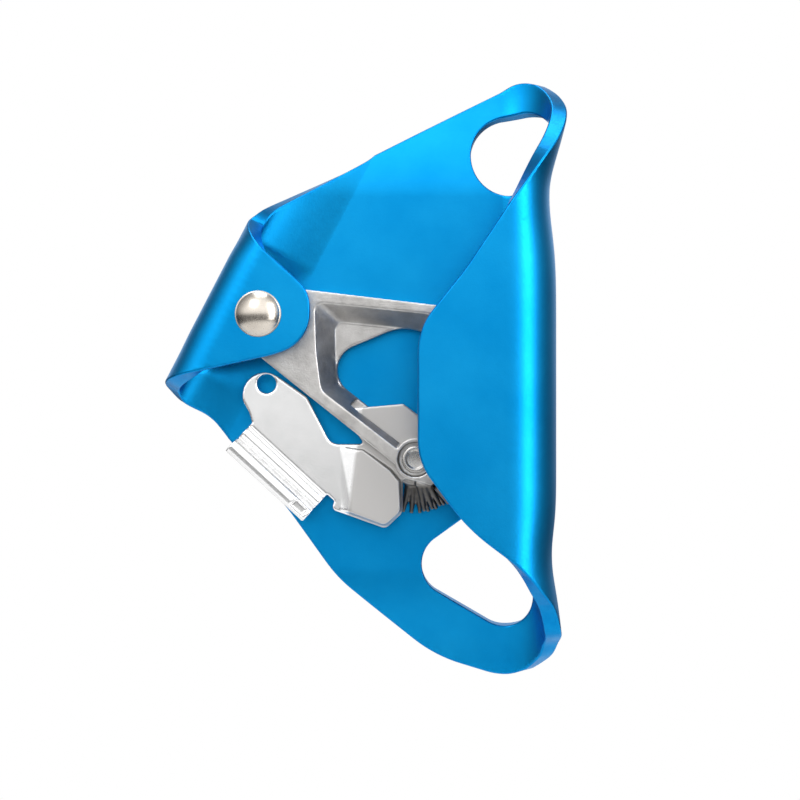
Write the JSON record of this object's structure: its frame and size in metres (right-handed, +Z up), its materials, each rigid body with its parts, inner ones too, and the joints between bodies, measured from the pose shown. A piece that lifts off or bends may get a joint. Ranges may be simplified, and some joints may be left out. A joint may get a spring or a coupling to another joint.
{
  "type": "rope ascender",
  "caption": "Chest ascender: bent sheet frame with a rope channel, sprung toothed cam on a rivet, and a safety catch on the cam.",
  "frame": {"origin": "centre of the lower attachment eye, on the back face of the plate", "axes": "+Z up the rope, +X towards the rope channel, -Y out of the front"},
  "size_m": [0.0844, 0.0253, 0.1248],
  "materials": {
    "anodised_frame": "satin blue anodised over a fine blasted grain",
    "nickel_rivet": "nickel-plated steel",
    "bronze_bush": "plain bronze",
    "washer_steel": "plain steel",
    "cast_cam": "cast and tumbled steel with a fine grain",
    "spring_steel": "drawn spring wire",
    "polished_catch": "cast steel, polished on the arm and matt beside the pin",
    "pin_steel": "plain steel"
  },
  "bodies": {
    "frame": {"frame_plate": "anodised_frame", "cam_rivet": "nickel_rivet", "cam_bush": "bronze_bush", "front_washer": "washer_steel", "back_washer": "washer_steel"},
    "cam": {"cam": "cast_cam", "cam_spring": "spring_steel", "catch_pin": "pin_steel", "catch_spring": "spring_steel"},
    "catch": {"catch": "polished_catch"}
  },
  "joints": [
    {"name": "cam_swing", "type": "hinge", "parent": "frame", "child": "cam", "pos_m": [-0.0461, -0.00825, 0.0537], "axis": [0, 1, 0], "range_deg": [0, 30], "stiffness_Nm_per_rad": 0.06, "springref_deg": -45.84, "deforming": ["cam_spring"]},
    {"name": "catch_pull", "type": "hinge", "parent": "cam", "child": "catch", "pos_m": [-0.0138, -0.0087, 0.0237], "axis": [0, -1, 0], "range_deg": [0, 22], "stiffness_Nm_per_rad": 0.02, "springref_deg": -45.84, "deforming": ["catch_spring"]}
  ]
}
